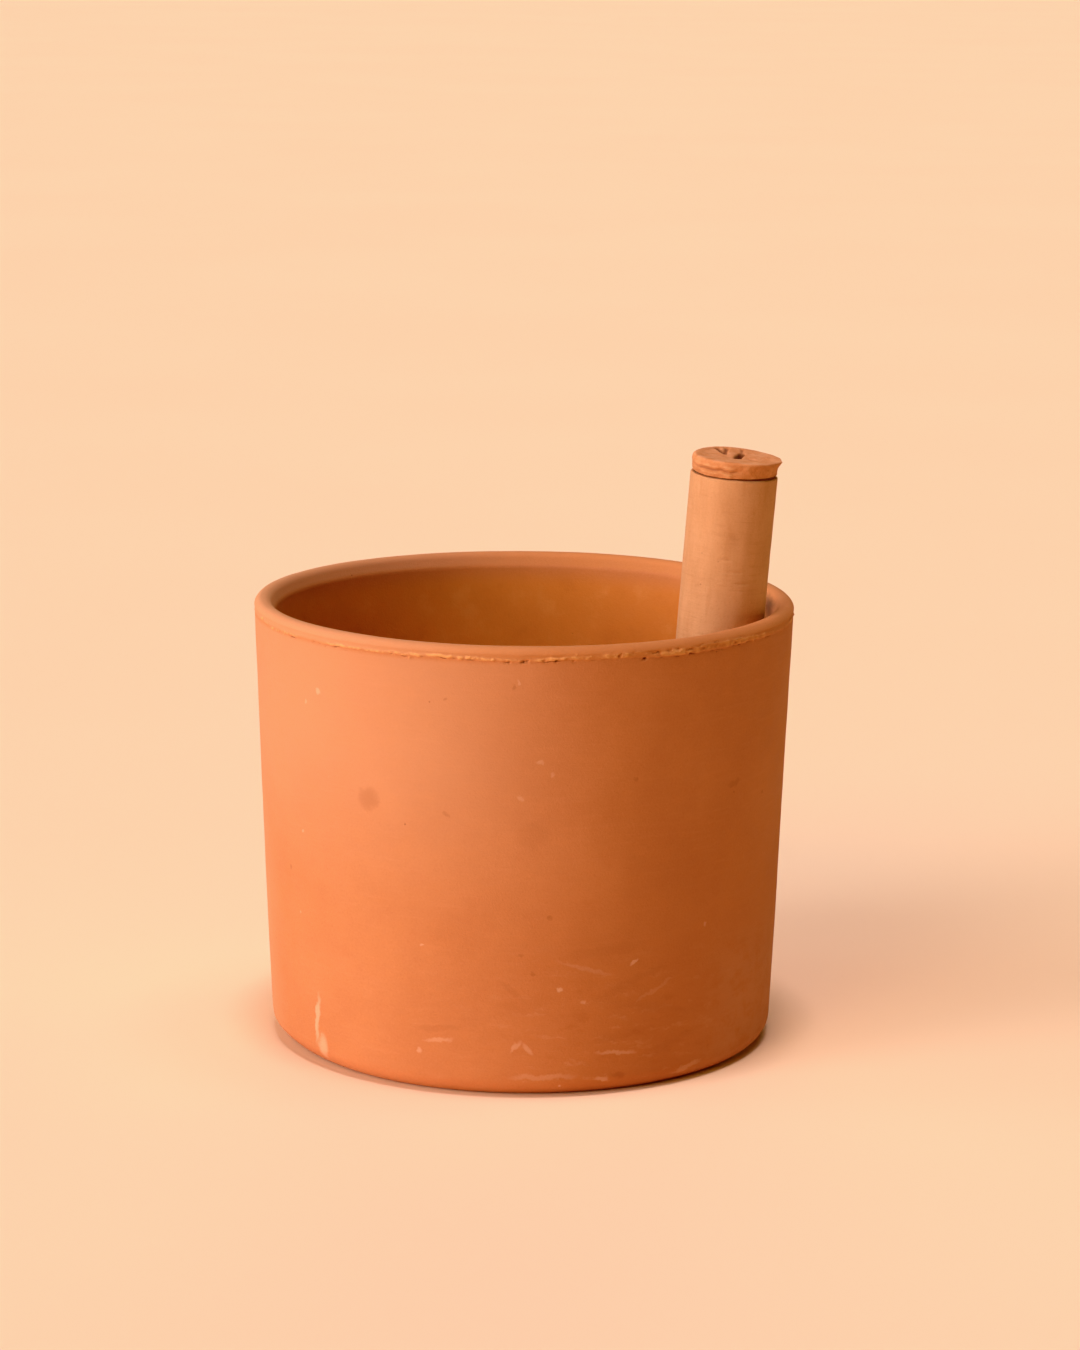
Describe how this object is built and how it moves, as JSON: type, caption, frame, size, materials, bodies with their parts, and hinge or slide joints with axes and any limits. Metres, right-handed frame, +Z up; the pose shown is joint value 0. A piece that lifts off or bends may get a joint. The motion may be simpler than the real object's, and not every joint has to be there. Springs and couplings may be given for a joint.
{
  "type": "mortar and pestle",
  "caption": "Terracotta mortar, a slightly tapered straight-sided cup, with a slim round pestle that stands in it for grinding spices and leans on the rim.",
  "frame": {"origin": "centre of the mortar's base, on the surface that it stands on", "axes": "+Z up along the mortar's axis; -Y is the front; the pestle leans towards +X and a little towards -Y"},
  "size_m": [0.1304, 0.1304, 0.1449],
  "materials": {
    "mortar_terracotta": "matte, unglazed fired clay",
    "shaft_clay": "matte, unglazed paler clay with fine turning marks",
    "cap_terracotta": "matte, unglazed hand-pressed clay"
  },
  "bodies": {
    "mortar": {"mortar_body": "mortar_terracotta"},
    "pestle": {"pestle_shaft": "shaft_clay", "pestle_end_cap": "cap_terracotta"}
  },
  "joints": [
    {"name": "pestle_lift", "type": "slide", "parent": "mortar", "child": "pestle", "axis": [0.0687, -0.0253, 0.9973], "range_m": [0, 0.13]}
  ]
}
